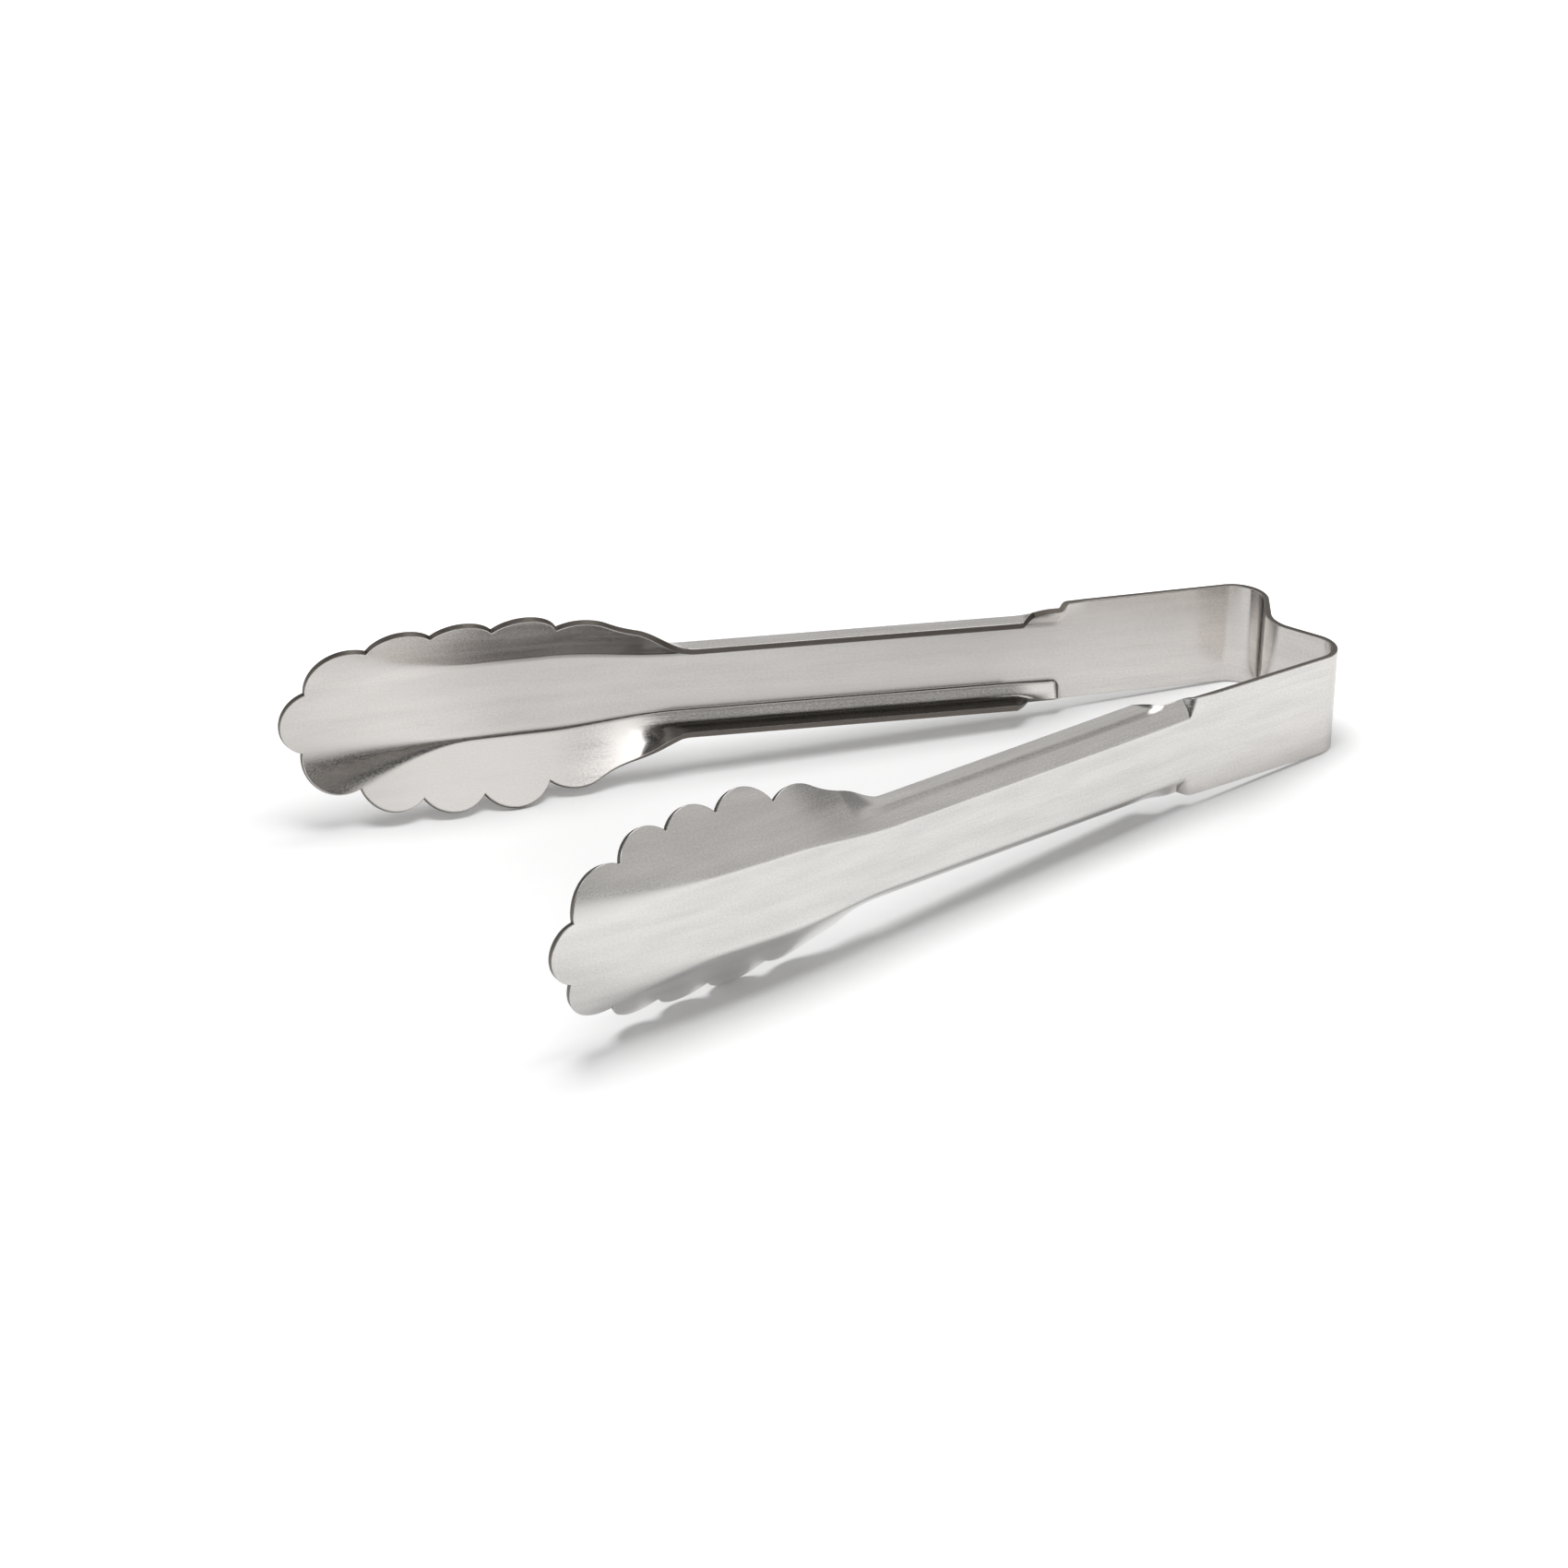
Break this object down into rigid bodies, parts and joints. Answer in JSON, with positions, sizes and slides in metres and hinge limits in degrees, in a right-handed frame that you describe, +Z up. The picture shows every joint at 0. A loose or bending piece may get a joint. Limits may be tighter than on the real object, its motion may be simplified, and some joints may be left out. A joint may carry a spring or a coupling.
{
  "type": "kitchen tongs",
  "caption": "Spring kitchen tongs bent from a single steel strip, with a dipped bow, flat spring leaves, folded channel arms and scalloped spoon heads.",
  "frame": {"origin": "middle of the footprint at floor height, with the tongs lying on the lower scallops of both heads and the lower edge of the bow", "axes": "+X from the heads to the bow, along the tongs; +Y from the near arm to the far arm, across the jaws; +Z up, across the strip's width"},
  "size_m": [0.242, 0.1362, 0.0508],
  "materials": {
    "spring_bow": "satin stainless steel with fine brushing along the strip",
    "near_leaf": "satin stainless steel with fine brushing along the strip",
    "far_leaf": "satin stainless steel with fine brushing along the strip",
    "near_arm": "satin stainless steel with fine brushing along the strip",
    "far_arm": "satin stainless steel with fine brushing along the strip"
  },
  "bodies": {
    "bow": {"spring_bow": "spring_bow"},
    "near_leaf": {"near_leaf": "near_leaf"},
    "far_leaf": {"far_leaf": "far_leaf"},
    "near_arm": {"near_arm": "near_arm"},
    "far_arm": {"far_arm": "far_arm"}
  },
  "joints": [
    {"name": "near_leaf_flex", "type": "hinge", "parent": "bow", "child": "near_leaf", "pos_m": [0.11935, -0.01586, 0.01272], "axis": [-0.0667, 0, -0.9978], "range_deg": [0, 8], "stiffness_Nm_per_rad": 39},
    {"name": "near_arm_flex", "type": "hinge", "parent": "near_leaf", "child": "near_arm", "pos_m": [0.08914, -0.02704, 0.01474], "axis": [-0.0667, 0, -0.9978], "range_deg": [0, 8], "stiffness_Nm_per_rad": 39},
    {"name": "far_leaf_flex", "type": "hinge", "parent": "bow", "child": "far_leaf", "pos_m": [0.11935, 0.01586, 0.01272], "axis": [0.0667, 0, 0.9978], "range_deg": [0, 8], "stiffness_Nm_per_rad": 39},
    {"name": "far_arm_flex", "type": "hinge", "parent": "far_leaf", "child": "far_arm", "pos_m": [0.08914, 0.02704, 0.01474], "axis": [0.0667, 0, 0.9978], "range_deg": [0, 8], "stiffness_Nm_per_rad": 39}
  ],
  "couplings": [
    {"joint": "near_arm_flex", "follows": "near_leaf_flex", "ratio": 1},
    {"joint": "far_leaf_flex", "follows": "near_leaf_flex", "ratio": 1},
    {"joint": "far_arm_flex", "follows": "near_leaf_flex", "ratio": 1}
  ]
}
